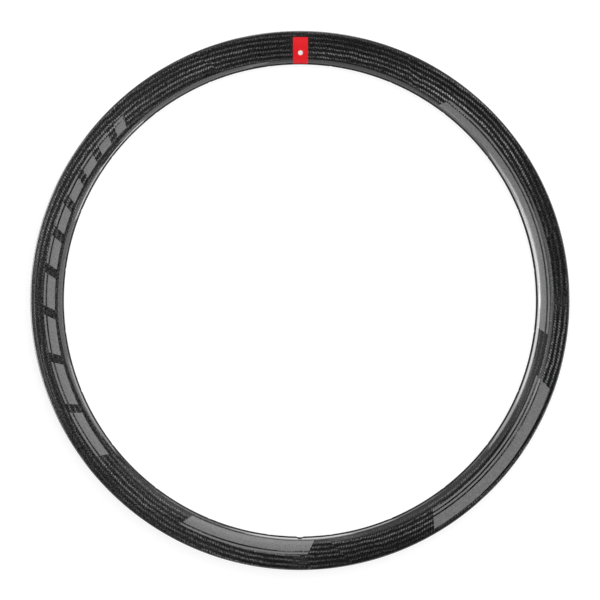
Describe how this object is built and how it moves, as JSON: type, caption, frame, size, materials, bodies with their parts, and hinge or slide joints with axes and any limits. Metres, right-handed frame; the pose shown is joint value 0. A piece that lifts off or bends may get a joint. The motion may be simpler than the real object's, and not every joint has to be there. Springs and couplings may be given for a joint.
{
  "type": "bicycle rim",
  "caption": "Deep-section carbon bicycle rim for a glued tubular tyre, with a rounded spoke bed, spoke and valve holes, a red label and grey stripes.",
  "frame": {"origin": "the centre of the rim, on the wheel's axle and midway between its two side walls", "axes": "+Z along the axle, out of the labelled side; +Y towards the red label; -Y towards the valve hole"},
  "size_m": [0.6329, 0.633, 0.0243],
  "materials": {
    "carbon": "woven carbon fibre under a clear gloss coat",
    "red_film": "red gloss film",
    "white_film": "white print",
    "grey_print": "satin grey print"
  },
  "bodies": {
    "root": {"rim": "carbon", "red_label": "red_film", "label_dot": "white_film", "left_bars": "grey_print", "right_stripes": "grey_print", "right_band": "grey_print", "bottom_bars": "grey_print"}
  },
  "joints": []
}
